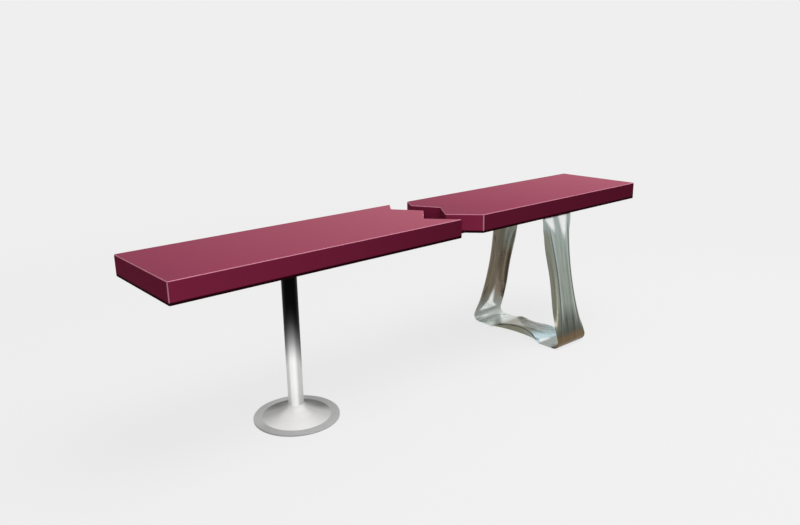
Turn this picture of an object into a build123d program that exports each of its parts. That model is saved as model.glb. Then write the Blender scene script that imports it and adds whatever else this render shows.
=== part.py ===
from build123d import *
import math
import os

# Seat: two solid plastic boards in one line, with stepped facing ends
seat_height = 457.0
seat_width = 280.0
seat_thickness = 50.8
left_board_length = 790.0
right_board_length = 700.0
board_gap = 82.0
edge_ease = 3.0
corner_round = 4.0

# Stepped ends: where each corner lies across the seat and how far it stands off the front corner
step_back_y = 88.0
step_middle_y = 12.0
step_front_y = -65.0
left_steps = (-8.0, -46.0, 5.0, -64.0, 0.0)
right_steps = (-26.0, -56.0, -15.0, -69.0, 0.0)

# Round pedestal: a steel tube between two bell flanges
pedestal_from_left_end = 353.0
tube_diameter = 38.1
tube_wall = 3.0
flange_diameter = 214.0
flange_ring_width = 21.0
flange_ring_thickness = 4.5
flange_rim_round = 1.5
flange_skin = 3.5
bell_height = 24.0
bell_start_angle = 7.0
hub_height = 36.0
hub_lip = 1.2
hub_blend = 9.0
hub_shoulder = 8.0
flange_relief = 1.5
tube_clearance = 0.1

# Trapezoid leg: one metal strip bent round, with its edges folded inward between the bends
leg_from_right_end = 340.0
strip_width = 126.0
strip_thickness = 4.5
leg_half_base = 181.5
leg_lean = 11.5
bend_radius = 22.0
foot_flat_length = 54.0
tab_end_gap = 10.0
fold_inset_end = 16.0
fold_round_share = 0.72
leg_fold_angle = 105.0
leg_fold_inset = 33.5
base_fold_angle = 125.0
base_fold_inset = 28.0
base_round_share = 0.50
fold_sections = 9
anchor_hole_diameter = 9.0
anchor_from_strip_edge = 17.0
anchor_from_bend = 14.0

# Splice rails: two shallow steel channels under the seat that tie the boards across the gap
rail_width = 40.0
rail_depth = 11.0
rail_wall = 3.0
rail_bend_radius = 4.5
rail_offset_y = 50.0
rail_reach_left = 160.0
rail_reach_right = 93.0
rail_bolt_from_end = 30.0
rail_bolt_pitch = 45.0

# Fixings: hex bolts with washers, run into threaded inserts in the boards
bolt_diameter = 8.0
bolt_head_across_flats = 13.0
bolt_head_height = 5.3
bolt_head_chamfer = 0.6
bolt_hole_diameter = 9.0
bolt_tip_room = 2.0
thread_clearance = 0.1
washer_diameter = 16.0
washer_thickness = 1.6
washer_bore = 8.4
insert_diameter = 12.0
insert_length = 20.0
insert_clearance = 0.1
tab_bolt_spacing = 70.0
tab_bolt_from_end = 38.0

# Places worked out from the sizes above
bench_length = left_board_length + board_gap + right_board_length
left_end_x = -bench_length / 2
right_end_x = bench_length / 2
left_corner_x = left_end_x + left_board_length
right_corner_x = right_end_x - right_board_length
underside_z = seat_height - seat_thickness
pedestal_x = left_end_x + pedestal_from_left_end
leg_x = right_end_x - leg_from_right_end
tube_radius = tube_diameter / 2
flange_radius = flange_diameter / 2
bell_radius = flange_radius - flange_ring_width
step_ys = (seat_width / 2, step_back_y, step_middle_y, step_front_y, -seat_width / 2)


def at_points(points, shape):
    """Copies of one shape at each plan point."""
    return [Pos(x, y, 0) * shape for x, y in points]


def pocket_cutter(points):
    """Blind pockets in the underside of a board, one for each insert."""
    pocket = Cylinder(
        insert_diameter / 2 + insert_clearance,
        insert_length,
        align=(Align.CENTER, Align.CENTER, Align.MIN),
    )
    return at_points(points, Pos(0, 0, underside_z) * pocket)


def seat_board(corners, fixing_points):
    """A board cut to its plan outline, with eased edges and insert pockets."""
    outline = make_face(Polyline(*corners, close=True))
    board = Pos(0, 0, underside_z) * extrude(outline, seat_thickness)
    board = fillet(board.edges().filter_by(Axis.Z), corner_round)
    flat_faces = board.faces().filter_by(Axis.Z)
    board = fillet(flat_faces.edges(), edge_ease)
    return board - pocket_cutter(fixing_points)


def hex_bolt(clamped):
    """A bolt whose head bears on a washer below the clamped metal."""
    head_top_z = underside_z - clamped - washer_thickness
    shank_top_z = underside_z + insert_length - bolt_tip_room
    head = extrude(RegularPolygon(bolt_head_across_flats / 2, 6, major_radius=False), bolt_head_height)
    head = chamfer(head.faces().sort_by(Axis.Z)[0].edges(), bolt_head_chamfer)
    shank = Cylinder(
        bolt_diameter / 2,
        shank_top_z - head_top_z,
        align=(Align.CENTER, Align.CENTER, Align.MIN),
    )
    return Pos(0, 0, head_top_z - bolt_head_height) * head + Pos(0, 0, head_top_z) * shank


def washer(clamped):
    """A flat washer pressed against the clamped metal."""
    ring = Circle(washer_diameter / 2) - Circle(washer_bore / 2)
    return Pos(0, 0, underside_z - clamped - washer_thickness) * extrude(ring, washer_thickness)


def threaded_insert():
    """A flush threaded bush set in the underside of a board."""
    ring = Circle(insert_diameter / 2) - Circle(bolt_diameter / 2 + thread_clearance)
    return Pos(0, 0, underside_z) * extrude(ring, insert_length)


def bolt_holes(points, clamped):
    """Clearance holes through the clamped metal."""
    hole = Cylinder(
        bolt_hole_diameter / 2,
        clamped,
        align=(Align.CENTER, Align.CENTER, Align.MAX),
    )
    return at_points(points, Pos(0, 0, underside_z) * hole)


def bell_flange():
    """A bell flange standing on its flat ring at z = 0, with a socket for the tube."""
    hub_radius = tube_radius + tube_clearance + hub_lip
    blend_start = (hub_radius + hub_blend, bell_height)
    ring_edge = (bell_radius, flange_ring_thickness)
    start_angle = math.radians(bell_start_angle)
    bell = TangentArc(ring_edge, blend_start, tangent=(-math.cos(start_angle), math.sin(start_angle)))
    blend = TangentArc(blend_start, (hub_radius, hub_height), tangent=bell % 1)
    rim_centre = (flange_radius - flange_rim_round, flange_ring_thickness - flange_rim_round)
    rim = CenterArc(rim_centre, flange_rim_round, 0, 90)
    outside = Polyline((hub_radius, hub_height), (0, hub_height), (0, 0), (flange_radius, 0), rim @ 0)
    ring_top = Line(rim @ 1, ring_edge)
    body = revolve(Plane.XZ * make_face([bell, blend, outside, rim, ring_top]), Axis.Z)
    under_bell = Pos(0, -flange_skin) * bell
    hollow_edge = Polyline(
        under_bell @ 1,
        (blend_start[0], 0),
        (bell_radius, 0),
        under_bell @ 0,
    )
    hollow = revolve(Plane.XZ * make_face([under_bell, hollow_edge]), Axis.Z)
    relief = Cylinder(
        bell_radius,
        flange_relief,
        align=(Align.CENTER, Align.CENTER, Align.MIN),
    )
    socket = Pos(0, 0, hub_shoulder) * Cylinder(
        tube_radius + tube_clearance,
        hub_height,
        align=(Align.CENTER, Align.CENTER, Align.MIN),
    )
    through_bore = Cylinder(
        tube_radius - tube_wall,
        hub_height,
        align=(Align.CENTER, Align.CENTER, Align.MIN),
    )
    return body - hollow - relief - socket - through_bore


def strip_section(plane, inset, fold, round_share):
    """The strip cut across: a flat web whose edges turn inward by the fold angle."""
    web_end = strip_width / 2 - inset
    fold_zone = inset * round_share
    lip = inset - fold_zone
    sides = []
    for depth in (0.0, strip_thickness):
        if fold > 0:
            centre_height = fold_zone / fold
            radius = centre_height - depth
            middle = (web_end + radius * math.sin(fold / 2), centre_height - radius * math.cos(fold / 2))
            zone_end = (web_end + radius * math.sin(fold), centre_height - radius * math.cos(fold))
        else:
            middle = (web_end + fold_zone / 2, depth)
            zone_end = (web_end + fold_zone, depth)
        tip = (zone_end[0] + lip * math.cos(fold), zone_end[1] + lip * math.sin(fold))
        sides.append(((web_end, depth), middle, zone_end, tip))
    edges = []
    for start, middle, zone_end, tip in sides:
        for side in (-1, 1):
            points = [(side * x, y) for x, y in (start, middle, zone_end, tip)]
            turn = ThreePointArc(*points[:3]) if fold > 0 else Line(points[0], points[2])
            edges += [turn, Line(points[2], points[3])]
        edges.append(Line((-start[0], start[1]), start))
    for side in (-1, 1):
        edges.append(Line(*[(side * run[3][0], run[3][1]) for run in sides]))
    return plane * make_face(edges)


def folded_run(start, end, inset_middle, angle_middle, round_middle):
    """A stretch of strip between two bends, flat at its ends and folded most at its middle."""
    sections = []
    for index in range(fold_sections):
        share = index / (fold_sections - 1)
        rise = math.sin(math.pi * share) if 0 < index < fold_sections - 1 else 0.0
        inset = fold_inset_end + (inset_middle - fold_inset_end) * rise
        round_share = fold_round_share + (round_middle - fold_round_share) * rise
        plane = Plane(origin=start + (end - start) * share, x_dir=(1, 0, 0), z_dir=end - start)
        sections.append(strip_section(plane, inset, math.radians(angle_middle) * rise, round_share))
    return loft(sections)


def flat_section(origin, direction):
    """The plain strip cut across, with its outer face at the origin."""
    plane = Plane(origin=origin, x_dir=(1, 0, 0), z_dir=direction)
    return plane * Pos(0, strip_thickness / 2) * Rectangle(strip_width, strip_thickness)


lean = math.radians(leg_lean)
leg_outward = Vector(0, -math.cos(lean), math.sin(lean))
low_bend_y = -leg_half_base + bend_radius * (1 + math.sin(lean)) / math.cos(lean)
high_bend_z = underside_z - bend_radius
high_bend_y = -leg_half_base + (bend_radius + math.sin(lean) * high_bend_z) / math.cos(lean)
low_centre = Vector(0, low_bend_y, bend_radius)
high_centre = Vector(0, high_bend_y, high_bend_z)
foot_end_y = low_bend_y + foot_flat_length
tab_bolt_y = tab_end_gap / 2 + tab_bolt_from_end
anchor_x = strip_width / 2 - anchor_from_strip_edge
anchor_y = -low_bend_y - anchor_from_bend


def front_leg():
    """The front half of the strip: foot, lower bend, leg, upper bend and top tab."""
    foot = extrude(flat_section((0, foot_end_y, 0), (0, -1, 0)), foot_flat_length)
    low_bend = revolve(
        flat_section((0, low_bend_y, 0), (0, -1, 0)),
        Axis(low_centre, (-1, 0, 0)),
        90 + leg_lean,
    )
    upright = folded_run(
        low_centre + leg_outward * bend_radius,
        high_centre + leg_outward * bend_radius,
        leg_fold_inset,
        leg_fold_angle,
        fold_round_share,
    )
    tab_face = flat_section((0, high_bend_y, underside_z), (0, 1, 0))
    high_bend = revolve(tab_face, Axis(high_centre, (1, 0, 0)), 90 - leg_lean)
    tab = extrude(tab_face, -tab_end_gap / 2 - high_bend_y)
    return foot + low_bend + upright + high_bend + tab


def leg_strip():
    """The whole bent strip, drilled for the seat bolts and the floor anchors."""
    front = front_leg()
    base = folded_run(
        Vector(0, -foot_end_y, 0),
        Vector(0, foot_end_y, 0),
        base_fold_inset,
        base_fold_angle,
        base_round_share,
    )
    strip = base + front + mirror(front, about=Plane.XZ)
    anchor_hole = Cylinder(
        anchor_hole_diameter / 2,
        strip_thickness,
        align=(Align.CENTER, Align.CENTER, Align.MIN),
    )
    anchors = [(x, y) for x in (-anchor_x, anchor_x) for y in (-anchor_y, anchor_y)]
    strip = Pos(leg_x, 0, 0) * (strip - at_points(anchors, anchor_hole))
    return strip - bolt_holes(leg_points, strip_thickness)


def splice_rail(side):
    """A channel with its web against the seat and its flanges down."""
    web = Rectangle(rail_width, rail_depth, align=(Align.CENTER, Align.MAX))
    web = fillet(web.vertices().group_by(Axis.Y)[-1], rail_bend_radius)
    inner = Pos(0, -rail_wall) * Rectangle(
        rail_width - 2 * rail_wall,
        rail_depth,
        align=(Align.CENTER, Align.MAX),
    )
    inner = fillet(inner.vertices().group_by(Axis.Y)[-1], rail_bend_radius - rail_wall)
    plane = Plane(origin=(rail_start_x, side * rail_offset_y, underside_z), x_dir=(0, 1, 0), z_dir=(1, 0, 0))
    channel = extrude(plane * (web - inner), rail_end_x - rail_start_x)
    return channel - bolt_holes([p for p in rail_points if p[1] * side > 0], rail_wall)


def export_node(name, shapes):
    """One file for each node, holding its separate solids."""
    export_step(Compound(children=list(shapes)), f"parts/{name}.step")


# Plan points of the fixings
bolt_circle = flange_radius - flange_ring_width / 2
pedestal_points = []
for angle in (45, 135, 225, 315):
    turn = math.radians(angle)
    pedestal_points.append((pedestal_x + bolt_circle * math.cos(turn), bolt_circle * math.sin(turn)))

leg_points = []
for x in (-tab_bolt_spacing / 2, tab_bolt_spacing / 2):
    for y in (-tab_bolt_y, tab_bolt_y):
        leg_points.append((leg_x + x, y))

rail_start_x = left_corner_x - rail_reach_left
rail_end_x = right_corner_x + rail_reach_right
left_rail_xs = (rail_start_x + rail_bolt_from_end, rail_start_x + rail_bolt_from_end + rail_bolt_pitch)
right_rail_xs = (rail_end_x - rail_bolt_from_end, rail_end_x - rail_bolt_from_end - rail_bolt_pitch)
rail_ys = (-rail_offset_y, rail_offset_y)
left_rail_points = [(x, y) for x in left_rail_xs for y in rail_ys]
right_rail_points = [(x, y) for x in right_rail_xs for y in rail_ys]
rail_points = left_rail_points + right_rail_points

# Plan outlines of the two boards, along the outer end and then along the stepped end
left_corners = [(left_end_x, -seat_width / 2), (left_end_x, seat_width / 2)]
left_corners += [(left_corner_x + reach, y) for reach, y in zip(left_steps, step_ys)]
right_corners = [(right_end_x, -seat_width / 2), (right_end_x, seat_width / 2)]
right_corners += [(right_corner_x + reach, y) for reach, y in zip(right_steps, step_ys)]

os.makedirs("parts", exist_ok=True)

export_node("seat_board_left", [seat_board(left_corners, pedestal_points + left_rail_points)])
export_node("seat_board_right", [seat_board(right_corners, leg_points + right_rail_points)])

# Round pedestal, from the floor up
flange = bell_flange()
tube_length = underside_z - 2 * hub_shoulder
tube_ring = Circle(tube_radius) - Circle(tube_radius - tube_wall)
seat_flange = Pos(pedestal_x, 0, underside_z) * mirror(flange, about=Plane.XY)
seat_flange = seat_flange - bolt_holes(pedestal_points, flange_ring_thickness)
export_node("pedestal_floor_flange", [Pos(pedestal_x, 0, 0) * flange])
export_node("pedestal_tube", [Pos(pedestal_x, 0, hub_shoulder) * extrude(tube_ring, tube_length)])
export_node("pedestal_seat_flange", [seat_flange])

export_node("trapezoid_leg", [leg_strip()])
export_node("splice_rail_front", [splice_rail(-1)])
export_node("splice_rail_rear", [splice_rail(1)])

# Fixings of each support, as groups of like pieces
fixing_places = (
    ("pedestal", pedestal_points, flange_ring_thickness),
    ("leg", leg_points, strip_thickness),
    ("rail", rail_points, rail_wall),
)
for place, points, clamped in fixing_places:
    export_node(f"{place}_bolts", at_points(points, hex_bolt(clamped)))
    export_node(f"{place}_washers", at_points(points, washer(clamped)))
    export_node(f"{place}_inserts", at_points(points, threaded_insert()))
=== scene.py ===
import math

import bmesh
import bpy
from mathutils import Matrix, Vector


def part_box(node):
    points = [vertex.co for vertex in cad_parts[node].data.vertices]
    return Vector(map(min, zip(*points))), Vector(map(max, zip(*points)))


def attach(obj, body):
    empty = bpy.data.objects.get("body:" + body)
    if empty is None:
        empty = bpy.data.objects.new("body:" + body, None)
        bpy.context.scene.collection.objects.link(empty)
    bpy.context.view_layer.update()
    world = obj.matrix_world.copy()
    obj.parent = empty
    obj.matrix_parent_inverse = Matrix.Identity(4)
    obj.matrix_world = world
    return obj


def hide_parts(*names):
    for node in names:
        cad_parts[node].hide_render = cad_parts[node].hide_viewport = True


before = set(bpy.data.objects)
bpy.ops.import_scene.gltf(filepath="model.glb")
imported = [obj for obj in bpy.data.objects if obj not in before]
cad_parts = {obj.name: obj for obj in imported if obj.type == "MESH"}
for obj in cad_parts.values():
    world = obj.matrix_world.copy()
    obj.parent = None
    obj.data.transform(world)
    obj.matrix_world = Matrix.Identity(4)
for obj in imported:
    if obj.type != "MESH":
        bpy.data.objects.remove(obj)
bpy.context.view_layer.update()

# Seat boards: two solid burgundy plastic boards laid in one line, sawn to a stepped line where
# they face each other. Their edges are eased with a router. Their colour carries painted light
# and shade: tops paler towards one end, fronts, the outer end and the recess darker, a painted
# highlight along the top and the upright corners, and a painted shade along the lower edges.
# Blind pockets underneath take the brass inserts of the bolts.
left_board_length = 0.790
right_board_length = 0.700
step_depths = (0.140, 0.088, 0.012, -0.065, -0.140)
left_steps = (-0.008, -0.046, 0.005, -0.064, 0.0)
right_steps = (-0.026, -0.056, -0.015, -0.069, 0.0)
board_corner_round = 0.004
board_edge_ease = 0.003
board_round_parts = 5
sharpest_rounded_turn = math.radians(115)
sharp_edge_turn = math.radians(50)
level_tolerance = 0.001
pocket_radius = 0.0061
pocket_depth = 0.020
hole_sides = 32
drill_turn = math.radians(4)
pedestal_bolt_ring = 0.0965
pedestal_bolt_angles = (45, 135, 225, 315)
tab_bolt_x = (-0.035, 0.035)
tab_bolt_y = (-0.043, 0.043)
left_rail_bolt_x = (-0.126, -0.081)
right_rail_bolt_x = (0.104, 0.149)
rail_bolt_y = (-0.050, 0.050)
# Burgundy tones for the painted light and shade: deep on shaded fronts and ends, pale on lit tops; the
# pale one also tints the mottle.
burgundy_painted_shade = (0.078, 0.0046, 0.0180, 1)
burgundy = (0.245, 0.0200, 0.0620, 1)
burgundy_mottle_and_painted_light = (0.375, 0.0800, 0.1250, 1)
burgundy_painted_light_tones = ((0.0, burgundy_painted_shade), (0.4, burgundy), (1.0, burgundy_mottle_and_painted_light))
# Painted highlight on the eased edges, and painted shade along the lower edges.
edge_painted_highlight = (0.640, 0.2700, 0.3600, 1)
lower_edge_painted_shade = (0.009, 0.0008, 0.0022, 1)
lower_edge_shade_heights = (0.0056, 0.0086)
lower_edge_shade_strength = (0.95, 0.0)
edge_highlight_strength = (0.0, 0.85)
# Where each face sits on the burgundy tones: painted light on the tops, painted shade on fronts and
# ends.
left_top_painted_light = (0.33, 0.86)
left_front_painted_shade = (0.245, 0.035)
right_top_painted_light = (0.34, 0.78)
right_front_painted_shade = (0.06, 0.00)
outer_end_painted_shade = 0.18
stepped_end_painted_shade = 0.42
recess_painted_shade = 0.29
plastic_gloss = 0.002
plastic_roughness = (0.48, 0.54)
plastic_mottle = (0.0, 0.06)
sheen_roughness = 0.35
top_sheen = (0.0, 0.22)
upward = (0.70, 0.95)
not_downward = (-0.95, -0.80)
eased_tilt = (0.6, 0.8)
upright_tilt = 0.05
side_tilt = 0.5
corner_facing = 0.995
corner_facet_area = 0.0001
large_face_area = 0.0015
whole = (0.0, 1.0)
noise_middle = (0.3, 0.7)
mark_middle = (0.35, 0.70)


def add_node(tree, kind, inputs=None, **settings):
    """Adds a shader node with its settings and the starting values of its inputs."""
    node = tree.nodes.new(kind)
    for name, value in settings.items():
        setattr(node, name, value)
    for socket, value in (inputs or {}).items():
        node.inputs[socket].default_value = value
    return node


def feed(tree, node, index, value):
    """Gives an input of a node its value, which is a socket or plain."""
    if isinstance(value, bpy.types.NodeSocket):
        tree.links.new(value, node.inputs[index])
    else:
        node.inputs[index].default_value = value


def blend_colours(tree, factor, first, second, mode="MIX"):
    """Blends two colours, each a socket or a plain colour, by a factor socket or number."""
    node = add_node(tree, "ShaderNodeMix", data_type="RGBA", blend_type=mode)
    for index, value in ((0, factor), (6, first), (7, second)):
        feed(tree, node, index, value)
    return node.outputs[2]


def remap(tree, value, old, new):
    """Maps a value from an old range to a new one with a smooth step."""
    limits = {"From Min": old[0], "From Max": old[1], "To Min": new[0], "To Max": new[1]}
    node = add_node(tree, "ShaderNodeMapRange", limits, interpolation_type="SMOOTHSTEP")
    feed(tree, node, "Value", value)
    return node.outputs["Result"]


def combine(tree, operation, first, second):
    """Works one value out of two, each a socket or a number."""
    node = add_node(tree, "ShaderNodeMath", operation=operation)
    for index, value in enumerate((first, second)):
        feed(tree, node, index, value)
    return node.outputs["Value"]


def both(tree, *masks):
    """Multiplies masks together."""
    product = masks[0]
    for mask in masks[1:]:
        product = combine(tree, "MULTIPLY", product, mask)
    return product


def part_of(tree, vector):
    """Splits a vector into its X, Y and Z sockets."""
    node = add_node(tree, "ShaderNodeSeparateXYZ")
    feed(tree, node, "Vector", vector)
    return node.outputs


def attribute(tree, name):
    """A value that the piece's mesh carries."""
    return add_node(tree, "ShaderNodeAttribute", attribute_name=name).outputs["Fac"]


def colour_stops(tree, value, stops, blend="LINEAR"):
    """Runs a value through a row of colours, each given with its place."""
    ramp = add_node(tree, "ShaderNodeValToRGB")
    ramp.color_ramp.interpolation = blend
    elements = ramp.color_ramp.elements
    while len(elements) < len(stops):
        elements.new(1.0)
    for element, (place, colour) in zip(elements, stops):
        element.position = place
        element.color = colour
    feed(tree, ramp, "Fac", value)
    return ramp.outputs["Color"]


def new_finish(name, metallic):
    """Starts a material and returns it with its node tree, shader and object coordinates."""
    finish = bpy.data.materials.new(name)
    finish.use_nodes = True
    tree = finish.node_tree
    shader = tree.nodes["Principled BSDF"]
    feed(tree, shader, "Metallic", metallic)
    place = add_node(tree, "ShaderNodeTexCoord").outputs["Object"]
    return finish, tree, shader, place


def new_group(name, vectors, numbers, results):
    """Starts a node group and returns it with its incoming sockets and its output node."""
    group = bpy.data.node_groups.new(name, "ShaderNodeTree")
    for kind, labels in (("NodeSocketVector", vectors), ("NodeSocketFloat", numbers)):
        for label in labels:
            group.interface.new_socket(label, in_out="INPUT", socket_type=kind)
    for label in results:
        group.interface.new_socket(label, in_out="OUTPUT", socket_type="NodeSocketFloat")
    ends = add_node(group, "NodeGroupInput").outputs
    return group, ends, add_node(group, "NodeGroupOutput")


def surface_group():
    """Fine grain and broad handling marks, shared by every finish on the bench."""
    scales = ("Grain Scale", "Mark Scale")
    group, ends, result = new_group("grain_and_marks", ("Place",), scales, ("Grain", "Marks"))
    grain = add_node(group, "ShaderNodeTexNoise", {"Detail": 3.0, "Roughness": 0.6})
    marks = add_node(group, "ShaderNodeTexNoise", {"Detail": 5.0, "Roughness": 0.65, "Distortion": 0.8})
    for noise, scale in zip((grain, marks), scales):
        feed(group, noise, "Vector", ends["Place"])
        feed(group, noise, "Scale", ends[scale])
    feed(group, result, "Grain", grain.outputs["Fac"])
    feed(group, result, "Marks", remap(group, marks.outputs["Fac"], mark_middle, whole))
    return group


grain_and_marks = surface_group()


def add_grain(tree, place, grain_scale, mark_scale):
    """Puts the shared grain and marks into a material."""
    scales = {"Grain Scale": grain_scale, "Mark Scale": mark_scale}
    node = add_node(tree, "ShaderNodeGroup", scales, node_tree=grain_and_marks)
    feed(tree, node, "Place", place)
    return node.outputs["Grain"], node.outputs["Marks"]


def set_surface(tree, shader, colour, roughness, height, strength, distance):
    """Gives a shader its colour, its roughness and a bump raised by a height value."""
    bump = add_node(tree, "ShaderNodeBump", {"Strength": strength, "Distance": distance})
    feed(tree, bump, "Height", height)
    feed(tree, shader, "Base Color", colour)
    feed(tree, shader, "Roughness", roughness)
    feed(tree, shader, "Normal", bump.outputs["Normal"])


def seat_plastic():
    """Burgundy plastic with painted light and shade, painted edge highlights, a top sheen and fine
    grain.
    """
    finish, tree, shader, place = new_finish("burgundy_plastic", metallic=0.0)
    feed(tree, shader, "Specular IOR Level", plastic_gloss)
    feed(tree, shader, "Coat Roughness", sheen_roughness)
    grain, marks = add_grain(tree, place, grain_scale=1500.0, mark_scale=9.0)
    colour = colour_stops(tree, attribute(tree, "painted_light_level"), burgundy_painted_light_tones)
    mottle = remap(tree, grain, noise_middle, plastic_mottle)
    colour = blend_colours(tree, mottle, colour, burgundy_mottle_and_painted_light)
    # Painted highlight along the eased top edges and the front upright corners.
    highlighted_edges = remap(tree, attribute(tree, "edge_highlight"), whole, edge_highlight_strength)
    colour = blend_colours(tree, highlighted_edges, colour, edge_painted_highlight)
    # Painted shade: a dark band low on the sides, where the lower rounding turns from the light.
    facing = part_of(tree, add_node(tree, "ShaderNodeNewGeometry").outputs["Normal"])["Z"]
    heights = [left_low.z + height for height in lower_edge_shade_heights]
    lower_edge_shade = remap(tree, part_of(tree, place)["Z"], heights, lower_edge_shade_strength)
    lower_edge_shade = both(tree, lower_edge_shade, remap(tree, facing, not_downward, whole))
    colour = blend_colours(tree, lower_edge_shade, colour, lower_edge_painted_shade)
    feed(tree, shader, "Coat Weight", remap(tree, facing, upward, top_sheen))
    roughness = remap(tree, marks, whole, plastic_roughness)
    set_surface(tree, shader, colour, roughness, grain, strength=0.10, distance=0.0003)
    return finish


def new_piece(name, bm, finish):
    """Turns a bmesh into a smooth-shaded piece with its finish."""
    mesh = bpy.data.meshes.new(name)
    for face in bm.faces:
        face.smooth = True
    bm.to_mesh(mesh)
    bm.free()
    piece = bpy.data.objects.new(name, mesh)
    piece.data.materials.append(finish)
    bpy.context.scene.collection.objects.link(piece)
    return piece


def settle(piece):
    """Turns a piece's modifiers into plain mesh."""
    graph = bpy.context.evaluated_depsgraph_get()
    shaped = piece.evaluated_get(graph)
    mesh = bpy.data.meshes.new_from_object(shaped, preserve_all_data_layers=True, depsgraph=graph)
    old = piece.data
    piece.modifiers.clear()
    piece.data = mesh
    bpy.data.meshes.remove(old)


def drill(piece, places, radius, low_z, high_z):
    """Cuts round holes or blind pockets at plan points, between two heights."""
    bm = bmesh.new()
    for x, y in places:
        centre = Matrix.Translation((x, y, (low_z + high_z) / 2))
        bmesh.ops.create_cone(
            bm,
            cap_ends=True,
            segments=hole_sides,
            radius1=radius,
            radius2=radius,
            depth=high_z - low_z,
            matrix=centre @ Matrix.Rotation(drill_turn, 4, "Z"),
        )
    cutter = new_piece("cutter", bm, piece.data.materials[0])
    cut = piece.modifiers.new("holes", "BOOLEAN")
    cut.operation = "DIFFERENCE"
    cut.solver = "EXACT"
    cut.object = cutter
    settle(piece)
    bpy.data.objects.remove(cutter)


def keep_flats_flat(piece):
    """Lets the large faces set the shading, so that rounded edges don't bend their light."""
    weighted = piece.modifiers.new("flat_faces", "WEIGHTED_NORMAL")
    weighted.weight = 100
    weighted.keep_sharp = True


def round_off(bm, parts, radius, segments, affect="EDGES"):
    """Rounds edges or corners of a mesh."""
    bmesh.ops.bevel(
        bm,
        geom=parts,
        offset=radius,
        segments=segments,
        profile=0.5,
        affect=affect,
        material=-1,
    )


def pull_out(bm, face, along):
    """Draws a face out into a solid bar."""
    drawn = bmesh.ops.extrude_face_region(bm, geom=[face])
    far_verts = [part for part in drawn["geom"] if isinstance(part, bmesh.types.BMVert)]
    bmesh.ops.translate(bm, verts=far_verts, vec=along)


def is_upright(edge):
    """Whether an edge of a board stands up."""
    return abs(edge.verts[0].co.z - edge.verts[1].co.z) > level_tolerance


def painted_edge_highlight(face, corners):
    """Whether a face carries the painted edge highlight: the middle of the eased top, or of a front
    upright corner.
    """
    if eased_tilt[0] < face.normal.z < eased_tilt[1]:
        return 1.0
    middle = face.calc_center_median()
    if abs(face.normal.z) > upright_tilt or face.calc_area() > corner_facet_area:
        return 0.0
    if middle.y > step_depths[-1] + board_corner_round:
        return 0.0
    nearest = min(corners, key=lambda corner: (corner[0] - middle.xy).length)
    return 1.0 if face.normal.xy.dot(nearest[1]) > corner_facing else 0.0


def end_painted_shade(face, outer_x):
    """How dark the painted shade on an end of a board is: its outer end, its front step or the steps
    behind that.
    """
    if face.normal.x * outer_x > 0:
        return outer_end_painted_shade
    in_recess = face.calc_center_median().y > step_depths[3]
    return recess_painted_shade if in_recess else stepped_end_painted_shade


def seat_board(name, node, outer_x, corner_x, steps, top_painted_light, front_painted_shade, pockets):
    """One board: its stepped outline raised to its thickness, rounded and eased."""
    low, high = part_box(node)
    plan = [(outer_x, low.y), (outer_x, high.y)]
    plan += [(corner_x + reach, depth) for reach, depth in zip(steps, step_depths)]
    bm = bmesh.new()
    outline = bm.faces.new([bm.verts.new((x, y, low.z)) for x, y in plan])
    pull_out(bm, outline, (0, 0, high.z - low.z))
    uprights = [edge for edge in bm.edges if is_upright(edge)]
    blunt = [edge for edge in uprights if edge.calc_face_angle() < sharpest_rounded_turn]
    round_off(bm, blunt, board_corner_round, board_round_parts)
    rims = [edge for edge in bm.edges if not is_upright(edge)]
    round_off(bm, rims, board_edge_ease, board_round_parts)
    bmesh.ops.recalc_face_normals(bm, faces=bm.faces)
    corners = []
    for before, here, after in zip(plan[-1:] + plan[:-1], plan, plan[1:] + plan[:1]):
        place = Vector(here)
        ways = (place - Vector(before)).normalized() + (place - Vector(after)).normalized()
        corners.append((place, ways.normalized()))
    highlight_faces = {face: painted_edge_highlight(face, corners) for face in bm.faces}
    painted_light_level = bm.loops.layers.float.new("painted_light_level")
    edge_highlight = bm.verts.layers.float.new("edge_highlight")
    for vert in bm.verts:
        if max(face.calc_area() for face in vert.link_faces) < large_face_area:
            vert[edge_highlight] = max(highlight_faces[face] for face in vert.link_faces)
    left_x = min(outer_x, corner_x)
    length = abs(corner_x - outer_x)
    # Painted light level: tops paler towards one end, fronts and ends shaded darker.
    for face in bm.faces:
        start, end = front_painted_shade
        if face.normal.z > side_tilt:
            start, end = top_painted_light
        elif abs(face.normal.x) > side_tilt:
            start = end = end_painted_shade(face, outer_x)
        for corner in face.loops:
            share = (corner.vert.co.x - left_x) / length
            corner[painted_light_level] = start + (end - start) * share
    bmesh.ops.triangulate(bm, faces=[face for face in bm.faces if len(face.verts) > 4])
    piece = new_piece(name, bm, burgundy_plastic)
    drill(piece, pockets, pocket_radius, low.z - pocket_depth, low.z + pocket_depth)
    piece.data.set_sharp_from_angle(angle=sharp_edge_turn)
    keep_flats_flat(piece)
    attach(piece, "root")
    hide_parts(node)


def circle_points(centre, radius, angles):
    """Points on a circle at angles in degrees."""
    turns = [math.radians(angle) for angle in angles]
    return [(centre[0] + radius * math.cos(turn), centre[1] + radius * math.sin(turn)) for turn in turns]


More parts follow.
